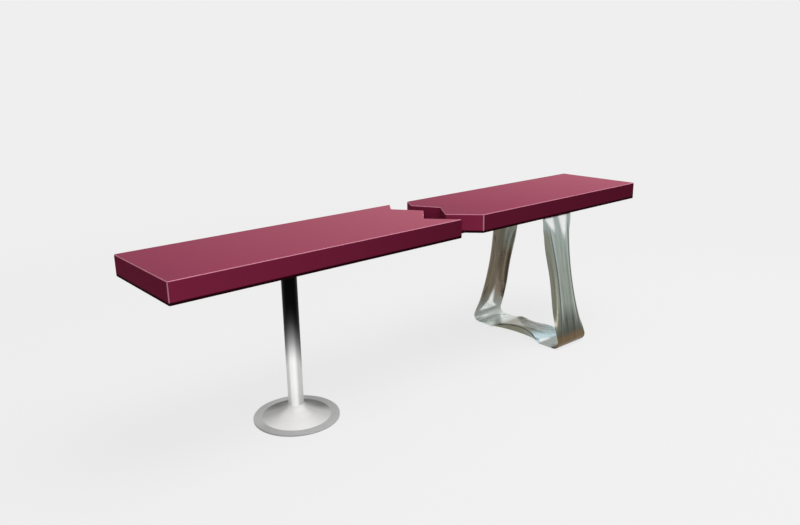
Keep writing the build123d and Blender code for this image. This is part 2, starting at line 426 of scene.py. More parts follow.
left_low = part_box("seat_board_left")[0]
right_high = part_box("seat_board_right")[1]
tube_low, tube_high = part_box("pedestal_tube")
leg_low, leg_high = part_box("trapezoid_leg")
pedestal_x = (tube_low.x + tube_high.x) / 2
leg_x = (leg_low.x + leg_high.x) / 2
pedestal_points = circle_points((pedestal_x, 0.0), pedestal_bolt_ring, pedestal_bolt_angles)
tab_points = [(leg_x + x, y) for x in tab_bolt_x for y in tab_bolt_y]
left_rail_points = [(x, y) for x in left_rail_bolt_x for y in rail_bolt_y]
right_rail_points = [(x, y) for x in right_rail_bolt_x for y in rail_bolt_y]
burgundy_plastic = seat_plastic()
seat_board(
    "board_left",
    "seat_board_left",
    left_low.x,
    left_low.x + left_board_length,
    left_steps,
    left_top_painted_light,
    left_front_painted_shade,
    pedestal_points + left_rail_points,
)
seat_board(
    "board_right",
    "seat_board_right",
    right_high.x,
    right_high.x - right_board_length,
    right_steps,
    right_top_painted_light,
    right_front_painted_shade,
    tab_points + right_rail_points,
)

# Bell flanges: two cast metal flanges in light grey satin paint, each a flat ring with a trumpet
# that flares up to the tube. One stands on the floor. The other hangs under the left board, turned
# over, with four bolt holes in its ring.
flange_radius = 0.107
ring_inner_radius = 0.086
ring_thickness = 0.0045
rim_round = 0.0015
rim_angles = range(0, 91, 15)
bell_top = 0.024
bell_start_angle = math.radians(7.0)
bell_parts = 28
hub_radius = 0.02035
hub_blend = 0.009
hub_blend_parts = 14
hub_height = 0.036
hub_shoulder = 0.008
flange_skin = 0.0035
flange_relief = 0.0015
socket_radius = 0.01915
through_radius = 0.01605
flange_hole_radius = 0.0045
hole_reach = 0.010
spin_steps = 128
spin_weld = 0.00001
crisp_turn = math.radians(32)
# Paint tones, with painted light on the far ring, painted highlights on the bell and hub, and painted
# shade behind the tube.
paint_ring = (0.450, 0.455, 0.450, 1)
ring_painted_light = (0.760, 0.765, 0.760, 1)
paint_bell = (0.600, 0.600, 0.590, 1)
bell_painted_highlight = (0.920, 0.920, 0.910, 1)
hub_painted_highlight = (0.950, 0.950, 0.940, 1)
bell_painted_shade = (0.050, 0.050, 0.049, 1)
paint_gloss = 0.35
paint_roughness = (0.34, 0.50)
paint_marks = (0.0, 0.10)
room_side = (-0.643, -0.766, 0.0)
wall_side = (-0.340, 0.940, 0.0)
ring_turn = (0.10, 0.95)
ring_start = (0.0840, 0.0868)
hub_reach = (0.055, 0.024)
hub_turn = (0.2, 0.9)
shade_reach = (0.030, 0.070)
shade_turn = (0.0, -0.7)
shade_strength = (0.60, 0.88)


def arc_points(start, end, heading, count):
    """Points on the arc that leaves start along heading and ends at end, and its last heading."""
    chord = Vector(end) - Vector(start)
    turn = math.atan2(chord.y, chord.x) - heading
    points = []
    for step in range(1, count + 1):
        part = turn * step / count
        reach = chord.length * math.sin(part) / math.sin(turn)
        way = heading + part
        points.append((start[0] + reach * math.cos(way), start[1] + reach * math.sin(way)))
    return points, heading + 2 * turn


def spun(profile, axis_x, steps, weld):
    """Spins a profile of radius and height once round an upright axis."""
    bm = bmesh.new()
    verts = [bm.verts.new((axis_x + radius, 0, height)) for radius, height in profile]
    edges = [bm.edges.new(pair) for pair in zip(verts, verts[1:])]
    bmesh.ops.spin(
        bm,
        geom=verts + edges,
        cent=(axis_x, 0, 0),
        axis=(0, 0, 1),
        angle=math.tau,
        steps=steps,
        use_merge=True,
    )
    bmesh.ops.remove_doubles(bm, verts=bm.verts, dist=weld)
    bmesh.ops.recalc_face_normals(bm, faces=bm.faces)
    return bm


def keep_crisp(bm, turn):
    """Shades an edge smooth only where its faces turn less than this."""
    for edge in bm.edges:
        edge.smooth = edge.calc_face_angle(0.0) < turn


def turned_piece(name, profile, axis_x, finish):
    """Closes a profile and spins it into a round piece with crisp corners."""
    bm = spun(profile + profile[:1], axis_x, spin_steps, spin_weld)
    keep_crisp(bm, crisp_turn)
    return new_piece(name, bm, finish)


def flange_profile():
    """The flange cut from its axis out: ring, bell, hub, socket and hollow underside."""
    ring_edge = (ring_inner_radius, ring_thickness)
    blend_start = (hub_radius + hub_blend, bell_top)
    bell, heading = arc_points(ring_edge, blend_start, math.pi - bell_start_angle, bell_parts)
    blend, heading = arc_points(blend_start, (hub_radius, hub_height), heading, hub_blend_parts)
    rim_centre = (flange_radius - rim_round, ring_thickness - rim_round)
    rim = circle_points(rim_centre, rim_round, rim_angles)
    underside = [(radius, height - flange_skin) for radius, height in reversed(bell)]
    underside = [(radius, height) for radius, height in underside if height > flange_relief]
    profile = [(flange_radius, 0.0)] + rim + [ring_edge] + bell + blend
    profile += [(socket_radius, hub_height), (socket_radius, hub_shoulder)]
    profile += [(through_radius, hub_shoulder), (through_radius, flange_relief)]
    profile += [(hub_radius + hub_blend, flange_relief)] + underside
    profile += [(ring_inner_radius, flange_relief), (ring_inner_radius, 0.0)]
    return profile


def measure(tree, operation, vector, other=(0, 0, 0)):
    """Works a number out of a vector: its length, or how far it goes along another."""
    node = add_node(tree, "ShaderNodeVectorMath", {1: other}, operation=operation)
    feed(tree, node, 0, vector)
    return node.outputs["Value"]


def round_the_pedestal(tree, place, side):
    """How far a point lies from the pedestal's axis, and how far of that towards one side."""
    centred = add_node(tree, "ShaderNodeMapping", {"Location": (-pedestal_x, 0, 0), "Scale": (1, 1, 0)})
    feed(tree, centred, "Vector", place)
    away = centred.outputs["Vector"]
    return measure(tree, "LENGTH", away), measure(tree, "DOT_PRODUCT", away, side)


def grey_paint():
    """Satin grey paint, darker on the flat ring, with painted light on the far ring, painted highlights
    up the front and painted shade behind the tube.
    """
    finish, tree, shader, place = new_finish("grey_satin_paint", metallic=0.0)
    feed(tree, shader, "Specular IOR Level", paint_gloss)
    grain, marks = add_grain(tree, place, grain_scale=900.0, mark_scale=16.0)
    reach, towards_room = round_the_pedestal(tree, place, room_side)
    towards_wall = round_the_pedestal(tree, place, wall_side)[1]
    facing = combine(tree, "DIVIDE", towards_room, reach)
    # Painted light on the far part of the ring, where the seat's shadow falls.
    far_ring_light = remap(tree, combine(tree, "DIVIDE", towards_wall, reach), ring_turn, whole)
    ring = blend_colours(tree, far_ring_light, paint_ring, ring_painted_light)
    # Painted highlight up the front of the bell and at the hub.
    colour = blend_colours(tree, remap(tree, facing, whole, whole), paint_bell, bell_painted_highlight)
    near_hub = remap(tree, reach, hub_reach, whole)
    hub_highlight = both(tree, near_hub, remap(tree, facing, hub_turn, whole))
    colour = blend_colours(tree, hub_highlight, colour, hub_painted_highlight)
    # Painted shade on the bell behind the tube.
    down_bell = remap(tree, reach, shade_reach, shade_strength)
    behind_tube_shade = both(tree, down_bell, remap(tree, facing, shade_turn, whole))
    colour = blend_colours(tree, behind_tube_shade, colour, bell_painted_shade)
    colour = blend_colours(tree, remap(tree, reach, ring_start, whole), colour, ring)
    colour = blend_colours(tree, remap(tree, marks, whole, paint_marks), colour, paint_ring)
    roughness = remap(tree, marks, whole, paint_roughness)
    set_surface(tree, shader, colour, roughness, grain, strength=0.12, distance=0.0003)
    return finish


grey_satin_paint = grey_paint()
floor_flange = turned_piece("floor_flange", flange_profile(), pedestal_x, grey_satin_paint)
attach(floor_flange, "root")
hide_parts("pedestal_floor_flange")

seat_z = left_low.z
seat_profile = [(radius, seat_z - height) for radius, height in flange_profile()]
seat_flange = turned_piece("seat_flange", seat_profile, pedestal_x, grey_satin_paint)
drill(seat_flange, pedestal_points, flange_hole_radius, seat_z - hole_reach, seat_z + hole_reach)
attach(seat_flange, "root")
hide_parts("pedestal_seat_flange")

# Pedestal tube: one length of round steel tube with a painted reflection, bright at the foot and
# dark towards the seat. Its ends sit in the sockets of the two bell flanges.
tube_radius = 0.01905
tube_bore = 0.01605
tube_chamfer = 0.0006
# Painted reflection and shade on the tube: tones by height, bowed down towards the room, darker at the
# sides.
reflection_bow = 0.045
tube_black_lines_and_painted_shade = (0.0022, 0.0022, 0.0024, 1)
tube_painted_dark = (0.0100, 0.0100, 0.0100, 1)
tube_painted_grey = (0.160, 0.160, 0.160, 1)
tube_painted_pale = (0.420, 0.420, 0.420, 1)
tube_painted_highlight = (0.985, 0.985, 0.980, 1)
tube_side_painted_shade = (0.560, 0.560, 0.555, 1)
tube_painted_reflection = (
    (0.146, tube_painted_highlight),
    (0.166, tube_painted_highlight),
    (0.198, tube_painted_pale),
    (0.227, tube_painted_grey),
    (0.258, tube_painted_dark),
    (0.308, tube_black_lines_and_painted_shade),
)
tube_lines = (60.0, 60.0, 1.5)
tube_fine = (0.3, 1.0)
tube_line_strength = (0.0, 0.03)
tube_roughness = (0.44, 0.52)
side_shade_turn = (0.97 * tube_radius, 0.78 * tube_radius)
side_shade_strength = (0.0, 0.75)


def streak_group():
    """Fine lines drawn along a piece, for tube and strip."""
    group, ends, result = new_group("drawn_lines", ("Place", "Stretch"), (), ("Fine", "Broad"))
    stretched = add_node(group, "ShaderNodeVectorMath", operation="MULTIPLY")
    feed(group, stretched, 0, ends["Place"])
    feed(group, stretched, 1, ends["Stretch"])
    for output, scale in (("Fine", 12.0), ("Broad", 2.0)):
        noise = add_node(group, "ShaderNodeTexNoise", {"Scale": scale, "Detail": 4.0, "Roughness": 0.6})
        feed(group, noise, "Vector", stretched.outputs["Vector"])
        feed(group, result, output, remap(group, noise.outputs["Fac"], noise_middle, whole))
    return group


drawn_lines = streak_group()


def add_lines(tree, place, stretch):
    """Puts the drawn lines into a material, stretched along the piece."""
    node = add_node(tree, "ShaderNodeGroup", {"Stretch": stretch}, node_tree=drawn_lines)
    feed(tree, node, "Place", place)
    return node.outputs["Fine"], node.outputs["Broad"]


def tube_steel():
    """Polished steel with a painted reflection, dark from the middle up to the seat, and painted shade
    at the sides.
    """
    finish, tree, shader, place = new_finish("polished_tube_steel", metallic=1.0)
    marks = add_grain(tree, place, grain_scale=700.0, mark_scale=14.0)[1]
    fine, broad = add_lines(tree, place, tube_lines)
    towards_room = round_the_pedestal(tree, place, room_side)[1]
    bowed = combine(tree, "MULTIPLY", towards_room, -reflection_bow / tube_radius)
    height = combine(tree, "ADD", part_of(tree, place)["Z"], bowed)
    height = combine(tree, "DIVIDE", height, tube_high.z)
    # Painted reflection, bowed down on the side towards the room.
    stops = [((tone_height - reflection_bow) / tube_high.z, tone) for tone_height, tone in tube_painted_reflection]
    colour = colour_stops(tree, height, stops, "B_SPLINE")
    # Painted shade on the sides of the tube.
    side = remap(tree, towards_room, side_shade_turn, side_shade_strength)
    colour = blend_colours(tree, side, colour, tube_side_painted_shade, "MULTIPLY")
    lines = remap(tree, fine, tube_fine, tube_line_strength)
    colour = blend_colours(tree, lines, colour, tube_black_lines_and_painted_shade)
    roughness = remap(tree, broad, whole, tube_roughness)
    set_surface(tree, shader, colour, roughness, marks, strength=0.03, distance=0.0002)
    return finish


tube_profile = [
    (tube_radius - tube_chamfer, tube_low.z),
    (tube_radius, tube_low.z + tube_chamfer),
    (tube_radius, tube_high.z - tube_chamfer),
    (tube_radius - tube_chamfer, tube_high.z),
    (tube_bore + tube_chamfer, tube_high.z),
    (tube_bore, tube_high.z - tube_chamfer),
    (tube_bore, tube_low.z + tube_chamfer),
    (tube_bore + tube_chamfer, tube_low.z),
]
tube = turned_piece("tube", tube_profile, pedestal_x, tube_steel())
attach(tube, "root")
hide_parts("pedestal_tube")

# Trapezoid leg: one aluminium strip bent round to a trapezoid, its two ends meeting under the
# seat as bolted tabs. Between the bends its edges are pressed inward, so that each run is stiff
# as a channel, while the feet stay flat on the floor and are drilled for anchors.
strip_width = 0.126
strip_thickness = 0.0045
strip_edge_round = 0.0007
edge_round_parts = 2
edge_round_turn = math.radians(55)
leg_half_base = 0.1815
leg_lean = math.radians(11.5)
bend_radius = 0.022
foot_flat_length = 0.054
tab_end_y = -0.005
fold_inset_end = 0.016
fold_share_end = 0.72
leg_fold = (0.0335, math.radians(105.0), 0.72)
base_fold = (0.028, math.radians(125.0), 0.50)
anchor_radius = 0.0045
anchor_x = (-0.046, 0.046)
anchor_y = (-0.140573, 0.140573)
tab_hole_radius = 0.0045
base_steps = 30
foot_steps = 10
low_bend_steps = 18
leg_steps = 90
high_bend_steps = 14
tab_steps = 12
web_parts = 16
fold_parts = 10
lip_parts = 4
least_fold = 0.001
floor_level = 0.0001
# Strip tones: most are painted reflections, highlights and shade on the metal.
strip_pale_streaks_and_painted_highlight = (0.960, 0.985, 0.975, 1)
strip_silver = (0.330, 0.405, 0.385, 1)
strip_green = (0.226, 0.270, 0.220, 1)
strip_dark_lines_and_painted_shade = (0.062, 0.073, 0.055, 1)
strip_brown = (0.165, 0.108, 0.050, 1)
strip_umber = (0.074, 0.049, 0.023, 1)
strip_blue = (0.660, 0.870, 0.930, 1)
strip_olive = (0.160, 0.128, 0.088, 1)
strip_flange = (0.215, 0.210, 0.155, 1)
strip_taupe = (0.380, 0.380, 0.310, 1)
strip_foot = (0.400, 0.430, 0.410, 1)
strip_heel_painted_highlight = (0.880, 0.940, 0.900, 1)
strip_painted_shade = (0.390, 0.310, 0.222, 1)
strip_far_painted_light = (0.620, 0.620, 0.530, 1)
strip_painted_sky = (0.840, 0.985, 0.995, 1)
strip_plain = (0.440, 0.470, 0.450, 1)
strip_ledge_painted_light = (0.430, 0.460, 0.385, 1)
strip_painted_reflections = (
    ((0.000, 0.090), strip_silver),
    ((0.200, 0.275), strip_green),
    ((0.312, 0.338), strip_dark_lines_and_painted_shade),
    ((0.352, 0.366), strip_brown),
    ((0.378, 0.386), strip_umber),
    ((0.392, 0.424), strip_foot),
    ((0.429, 0.455), strip_blue),
    ((0.490, 0.560), strip_taupe),
    ((0.580, 0.612), strip_heel_painted_highlight),
    ((0.640,), strip_foot),
    ((0.700,), strip_olive),
)
far_side_painted_light = ((0.455, strip_painted_sky), (0.480, strip_pale_streaks_and_painted_highlight), (0.520, strip_pale_streaks_and_painted_highlight), (0.550, strip_far_painted_light))
# Painted highlight and shade along the folds: a pale edge, a dark crease, the flange's tone and a dark
# lip.
fold_painted_highlight_and_shade = (
    (0.70, 0.86, 0.98, 0.22, strip_pale_streaks_and_painted_highlight, 0.00, 0.33),
    (0.90, 1.06, 1.30, 0.75, strip_dark_lines_and_painted_shade, 0.00, 0.60),
    (1.10, 1.60, 9.00, 0.80, strip_flange, 0.00, 0.60),
    (2.40, 2.80, 3.60, 0.65, strip_dark_lines_and_painted_shade, 0.43, 0.60),
)
tone_start_run = 0.02
tone_end_run = 0.04
glint_sizes = ("Middle", "Start", "Tip", "Half Width", "Slant")
# Painted highlights on the strip.
glints = (
    (0.15, 0.068, 0.120, 0.18, 4.2),
    (0.69, 0.068, 0.142, 0.18, -0.4),
    (0.47, 0.653, 0.678, 0.30, 0.0),
    (0.49, 0.653, 0.722, 0.13, 1.7),
    (0.22, 0.425, 0.440, 0.20, 0.0),
    (0.60, 0.600, 0.630, 0.28, 0.0),
    (0.35, 0.621, 0.633, 0.45, 0.0),
)
glint_start = (-0.006, 0.002)
glint_edge = (-0.06, 0.06)
glint_tip = (0.0, 0.09)
strip_lines = (6.0, 2.0, 1.0)
strip_roughness = (0.26, 0.34)
front_foot = (0.31, 0.35)
front_streaks = (0.22, 0.03)
fold_begins = (0.05, 0.45)
far_half = (0.55, 0.70)
base_start = (0.425, 0.445)
base_end = (0.575, 0.595)
heel_start = (0.565, 0.580)
heel_end = (0.606, 0.618)
heel_far = (0.60, 0.76)
heel_strength = 0.30
back_start = (0.66, 0.72)
back_strength = (0.0, 0.8)
back_top = (0.78, 0.86)
back_top_strength = (0.0, 0.45)
back_web = (0.30, 0.45)
back_web_strength = (0.30, 1.0)
back_ledge = (0.795, 0.830)
back_lip = (1.8, 2.5)
back_lip_strength = (0.0, 0.8)
strip_fine = (0.2, 1.0)
painted_side_lines = (0.0, 0.15)
plain_lines = (0.0, 0.25)
plain_streaks = (0.0, 0.45)
strip_metallic = (1.0, 0.25)
most_dull = 0.9
painted_side_facing = (0.0, -0.8, 0.6)
painted_side_turn = (-0.585, -0.470)
falling = (1.0, 0.0)


def strip_stations():
    """Places along the front half of the strip, from the middle of the base to the tab's end.

    Each is a point on the outer face, the outward direction, the fold's inset, its angle, the
    share of it that is round and how far it has risen.
    """
    low_y = -leg_half_base + bend_radius * (1 + math.sin(leg_lean)) / math.cos(leg_lean)
    high_z = leg_high.z - bend_radius
    high_y = -leg_half_base + (bend_radius + math.sin(leg_lean) * high_z) / math.cos(leg_lean)
    foot_y = low_y + foot_flat_length
    down = Vector((0, 0, -1))
    outward = Vector((0, -math.cos(leg_lean), math.sin(leg_lean)))
    low_centre = Vector((0, low_y, bend_radius))
    high_centre = Vector((0, high_y, high_z))
    leg_start = low_centre + outward * bend_radius
    leg_end = high_centre + outward * bend_radius
    flat = (fold_inset_end, 0.0, fold_share_end, 0.0)

    def folded(sizes, rise):
        inset = fold_inset_end + (sizes[0] - fold_inset_end) * rise
        share = fold_share_end + (sizes[2] - fold_share_end) * rise
        return inset, sizes[1] * rise, share, rise

    stations = []
    for step in range(base_steps):
        share = step / base_steps
        fold = folded(base_fold, math.cos(share * math.pi / 2))
        stations.append((Vector((0, foot_y * share, 0)), down, *fold))
    for step in range(foot_steps):
        stations.append((Vector((0, foot_y + (low_y - foot_y) * step / foot_steps, 0)), down, *flat))
    for step in range(low_bend_steps):
        turn = (math.pi / 2 + leg_lean) * step / low_bend_steps
        away = Vector((0, -math.sin(turn), -math.cos(turn)))
        stations.append((low_centre + away * bend_radius, away, *flat))
    for step in range(leg_steps):
        share = step / leg_steps
        fold = folded(leg_fold, math.sin(share * math.pi))
        stations.append((leg_start.lerp(leg_end, share), outward, *fold))
    for step in range(high_bend_steps):
        turn = math.pi / 2 + leg_lean + (math.pi / 2 - leg_lean) * step / high_bend_steps
        away = Vector((0, -math.sin(turn), -math.cos(turn)))
        stations.append((high_centre + away * bend_radius, away, *flat))
    for step in range(tab_steps + 1):
        tab_y = high_y + (tab_end_y - high_y) * step / tab_steps
        stations.append((Vector((0, tab_y, leg_high.z)), -down, *flat))
    return stations


def across_strip(column, inset, fold, round_share):
    """Where a column lies in the strip's cross-section: its place, its depth and its flat place.

    Columns up to 1 lie on the flat web, up to 2 on the rounded fold and up to 3 on the lip.
    """
    side = math.copysign(1.0, column)
    part = abs(column)
    web_end = strip_width / 2 - inset
    zone = inset * round_share
    if part <= 1:
        return column * web_end, 0.0, column * web_end
    turned = fold * min(part - 1, 1.0)
    run = zone * min(part - 1, 1.0)
    lip = (inset - zone) * max(part - 2, 0.0)
    place = web_end + run
    depth = 0.0
    if fold > least_fold:
        place = web_end + zone / fold * math.sin(turned)
        depth = zone / fold * (1 - math.cos(turned))
    place += lip * math.cos(turned)
    depth += lip * math.sin(turned)
    return side * place, depth, side * (web_end + run + lip)


def strip_columns():
    """Column numbers across the strip, from one edge to the other."""
    lip = [3 - step / lip_parts for step in range(lip_parts)]
    fold = [2 - step / fold_parts for step in range(fold_parts)]
    web = [1 - 2 * step / web_parts for step in range(web_parts + 1)]
    outer = lip + fold
    return [-column for column in outer] + web[::-1] + outer[::-1]


def leg_strip():
    """The strip as a flat sheet, bent to the leg's path and folded across."""
    front = strip_stations()
    back = [(Vector((0, -p.y, p.z)), Vector((0, -n.y, n.z)), *fold) for p, n, *fold in front[1:]]
    stations = front[::-1] + back
    lengths = [0.0]
    for before, after in zip(stations, stations[1:]):
        lengths.append(lengths[-1] + (after[0] - before[0]).length)
    columns = strip_columns()
    bm = bmesh.new()
    bmesh.ops.create_grid(bm, x_segments=len(columns) - 1, y_segments=len(stations) - 1, size=0.5)
    flat_map = bm.loops.layers.uv.new("strip")
    fold_place = bm.verts.layers.float.new("fold_place")
    fold_rise = bm.verts.layers.float.new("fold_rise")
    for vert in bm.verts:
        column = round((vert.co.x + 0.5) * (len(columns) - 1))
        row = round((vert.co.y + 0.5) * (len(stations) - 1))
        point, away, inset, fold, round_share, rise = stations[row]
        place, depth, flat_place = across_strip(columns[column], inset, fold, round_share)
        vert[fold_place] = abs(columns[column])
        vert[fold_rise] = rise
        spot = (flat_place / strip_width + 0.5, lengths[row] / lengths[-1])
        for corner in vert.link_loops:
            corner[flat_map].uv = spot
        vert.co = point - away * depth + Vector((leg_x + place, 0, 0))
    underneath = [face for face in bm.faces if face.calc_center_median().z < floor_level]
    if sum(face.normal.z for face in underneath) > 0:
        bmesh.ops.reverse_faces(bm, faces=bm.faces)
    return new_piece("leg_strip", bm, pressed_aluminium())


def glint_group():
    """A painted highlight: a bright pointed patch on the strip, wide where it starts and narrowing to
    its tip.
    """
    group, ends, result = new_group("glint", (), ("Across", "Along") + glint_sizes, ("Mask",))
    taper = add_node(group, "ShaderNodeMapRange")
    feed(group, taper, "Value", ends["Along"])
    feed(group, taper, "From Max", ends["Start"])
    feed(group, taper, "From Min", ends["Tip"])
    feed(group, taper, "To Max", ends["Half Width"])
    width = taper.outputs["Result"]
    away = add_node(group, "ShaderNodeMath", operation="ABSOLUTE")
    run = combine(group, "SUBTRACT", ends["Along"], ends["Start"])
    middle = combine(group, "ADD", ends["Middle"], combine(group, "MULTIPLY", run, ends["Slant"]))
    feed(group, away, 0, combine(group, "SUBTRACT", ends["Across"], middle))
    inside = combine(group, "SUBTRACT", width, away.outputs["Value"])
    mask = both(
        group,
        remap(group, inside, glint_edge, whole),
        remap(group, run, glint_start, whole),
        remap(group, width, glint_tip, whole),
    )
    feed(group, result, "Mask", mask)
    return group


glint_patch = glint_group()


def window(tree, value, rise, fall, strength=1.0):
    """A mask that rises over one range of a value and falls again over another."""
    return both(tree, remap(tree, value, rise, (0.0, strength)), remap(tree, value, fall, falling))


def pressed_aluminium():
    """Bright aluminium with drawn streaks, painted reflections, highlights and shade on faces turned
    front and up, plain elsewhere.
    """
    finish, tree, shader, place = new_finish("pressed_aluminium", metallic=1.0)
    marks = add_grain(tree, place, grain_scale=800.0, mark_scale=18.0)[1]
    flat_map = add_node(tree, "ShaderNodeUVMap", uv_map="strip").outputs["UV"]
    fine, broad = add_lines(tree, flat_map, strip_lines)
    across, along = part_of(tree, flat_map)[:2]
    # Painted reflections along the strip.
    tint_stops = [(stop, tint) for stops, tint in strip_painted_reflections for stop in stops]
    colour = colour_stops(tree, along, tint_stops)
    # Painted shade at the top of the back leg, under the seat.
    top_shade = remap(tree, along, back_top, back_top_strength)
    top_shade = both(tree, top_shade, remap(tree, across, back_web, back_web_strength))
    colour = blend_colours(tree, top_shade, colour, strip_dark_lines_and_painted_shade)
    streaks = both(tree, broad, remap(tree, along, front_foot, front_streaks))
    colour = blend_colours(tree, streaks, colour, strip_pale_streaks_and_painted_highlight)
    # Painted highlight and shade along the folds.
    fold_place = attribute(tree, "fold_place")
    risen = remap(tree, attribute(tree, "fold_rise"), fold_begins, whole)
    for low, middle, high, strength, tone, first, last in fold_painted_highlight_and_shade:
        band = window(tree, fold_place, (low, middle), (middle, high), strength)
        run = window(tree, along, (first - tone_start_run, first), (last - tone_end_run, last))
        colour = blend_colours(tree, both(tree, band, risen, run), colour, tone)
    # Painted light on the far side of the base; painted shade on the far side of the back leg, lighter
    # near its top and darker at its lip.
    far_side = both(tree, remap(tree, across, far_half, whole), risen)
    on_base = both(tree, window(tree, along, base_start, base_end, most_dull), far_side)
    colour = blend_colours(tree, on_base, colour, colour_stops(tree, along, far_side_painted_light))
    # A taupe painted reflection along the far edge of the heel.
    heel_edge = window(tree, along, heel_start, heel_end, heel_strength)
    heel_edge = both(tree, heel_edge, remap(tree, across, heel_far, whole))
    colour = blend_colours(tree, heel_edge, colour, strip_taupe)
    on_back = both(tree, remap(tree, along, back_start, back_strength), far_side)
    below_ledge = remap(tree, along, back_ledge, falling)
    lip_shade = both(tree, remap(tree, fold_place, back_lip, back_lip_strength), below_ledge)
    back_tone = blend_colours(tree, below_ledge, strip_ledge_painted_light, strip_painted_shade)
    back_tone = blend_colours(tree, lip_shade, back_tone, strip_dark_lines_and_painted_shade)
    colour = blend_colours(tree, on_back, colour, back_tone)
    colour = blend_colours(tree, remap(tree, fine, strip_fine, painted_side_lines), colour, strip_dark_lines_and_painted_shade)
    # Painted highlights.
    for sizes in glints:
        starts = dict(zip(glint_sizes, sizes))
        node = add_node(tree, "ShaderNodeGroup", starts, node_tree=glint_patch)
        feed(tree, node, "Across", across)
        feed(tree, node, "Along", along)
        colour = blend_colours(tree, node.outputs["Mask"], colour, strip_pale_streaks_and_painted_highlight)
    # The painted reflections, highlights and shade show only on faces turned front and up; the other
    # faces stay plain.
    normal = add_node(tree, "ShaderNodeNewGeometry").outputs["Normal"]
    painted_side = remap(tree, measure(tree, "DOT_PRODUCT", normal, painted_side_facing), painted_side_turn, whole)
    plain = blend_colours(tree, remap(tree, broad, whole, plain_streaks), strip_plain, strip_pale_streaks_and_painted_highlight)
    plain = blend_colours(tree, remap(tree, fine, strip_fine, plain_lines), plain, strip_green)
    colour = blend_colours(tree, painted_side, plain, colour)
    dull = both(tree, combine(tree, "MAXIMUM", on_base, on_back), painted_side)
    feed(tree, shader, "Metallic", remap(tree, dull, (0.0, most_dull), strip_metallic))
    roughness = remap(tree, marks, whole, strip_roughness)
    set_surface(tree, shader, colour, roughness, broad, strength=0.04, distance=0.0003)
    return finish


def round_edges(piece, width):
    """Takes the sharpness off a pressed piece's edges."""
    rounding = piece.modifiers.new("edge_round", "BEVEL")
    rounding.width = width
    rounding.segments = edge_round_parts
    rounding.limit_method = "ANGLE"
    rounding.angle_limit = edge_round_turn
    settle(piece)
    keep_flats_flat(piece)


leg = leg_strip()
wall = leg.modifiers.new("wall", "SOLIDIFY")
wall.thickness = strip_thickness
wall.offset = -1.0
wall.use_even_offset = True
settle(leg)
anchor_points = [(leg_x + x, y) for x in anchor_x for y in anchor_y]
drill(leg, anchor_points, anchor_radius, -hole_reach, hole_reach)
drill(leg, tab_points, tab_hole_radius, leg_high.z - hole_reach, leg_high.z + hole_reach)
round_edges(leg, strip_edge_round)
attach(leg, "root")
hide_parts("trapezoid_leg")

# Splice rails: two shallow steel channels pressed from sheet and powder coated black. Each is
# bolted under both boards, web against the seat, and ties them across the gap.
rail_wall = 0.003
rail_bend_radius = 0.0045
rail_bend_parts = 6
rail_edge_round = 0.0004
rail_hole_radius = 0.0045
powder_black = (0.0105, 0.0105, 0.0115, 1)
powder_worn = (0.0600, 0.0600, 0.0620, 1)
worn_marks = (0.2, 1.0)
powder_wear = (0.0, 0.35)
powder_roughness = (0.40, 0.60)


def black_powder_coat():
    """Black powder coat with its orange-peel texture and a little rubbed shine."""
    finish, tree, shader, place = new_finish("black_powder_coat", metallic=0.0)
    grain, marks = add_grain(tree, place, grain_scale=650.0, mark_scale=22.0)
    worn = remap(tree, marks, worn_marks, powder_wear)
    colour = blend_colours(tree, worn, powder_black, powder_worn)
    roughness = remap(tree, grain, noise_middle, powder_roughness)
    set_surface(tree, shader, colour, roughness, grain, strength=0.35, distance=0.0004)
    return finish


def splice_rail(name, node, holes):
    """A channel section with rounded bends, drawn out along the seat."""
    low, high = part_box(node)
    inner_z = high.z - rail_wall
    section = (
        (low.y, low.z),
        (low.y, high.z),
        (high.y, high.z),
        (high.y, low.z),
        (high.y - rail_wall, low.z),
        (high.y - rail_wall, inner_z),
        (low.y + rail_wall, inner_z),
        (low.y + rail_wall, low.z),
    )
    bm = bmesh.new()
    verts = [bm.verts.new((low.x, y, z)) for y, z in section]
    bm.faces.new(verts)
    outer_bends = verts[1:3]
    inner_bends = verts[5:7]
    round_off(bm, outer_bends, rail_bend_radius, rail_bend_parts, "VERTICES")
    round_off(bm, inner_bends, rail_bend_radius - rail_wall, rail_bend_parts, "VERTICES")
    bm.faces.ensure_lookup_table()
    pull_out(bm, bm.faces[0], (high.x - low.x, 0, 0))
    bmesh.ops.recalc_face_normals(bm, faces=bm.faces)
    rail = new_piece(name, bm, powder_coat)
    drill(rail, holes, rail_hole_radius, high.z - hole_reach, high.z + hole_reach)
    round_edges(rail, rail_edge_round)
    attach(rail, "root")
    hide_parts(node)


powder_coat = black_powder_coat()
rail_points = left_rail_points + right_rail_points
splice_rail("rail_front", "splice_rail_front", [point for point in rail_points if point[1] < 0])
splice_rail("rail_rear", "splice_rail_rear", [point for point in rail_points if point[1] > 0])

# Fixings: zinc-plated hex bolts with flat washers, run up through the metal into flush brass
# inserts in the boards. Each support has its own set.
head_across_flats = 0.013
head_face_radius = 0.0063
head_blank_radius = 0.00754
head_height = 0.0053
head_chamfer = 0.0009
head_flats = 6
shank_radius = 0.004
shank_end_round = 0.0006
bolt_steps = 48
washer_radius = 0.008
washer_bore = 0.0042
washer_chamfer = 0.0003
washer_steps = 40
fixing_weld = 0.000005
fixing_crisp_turn = math.radians(24)
cut_tolerance = 0.000001
zinc_bright = (0.560, 0.580, 0.600, 1)
zinc_dull = (0.330, 0.335, 0.330, 1)
brass_plain = (0.560, 0.370, 0.130, 1)
brass_dull = (0.300, 0.190, 0.070, 1)
plated_roughness = (0.28, 0.48)


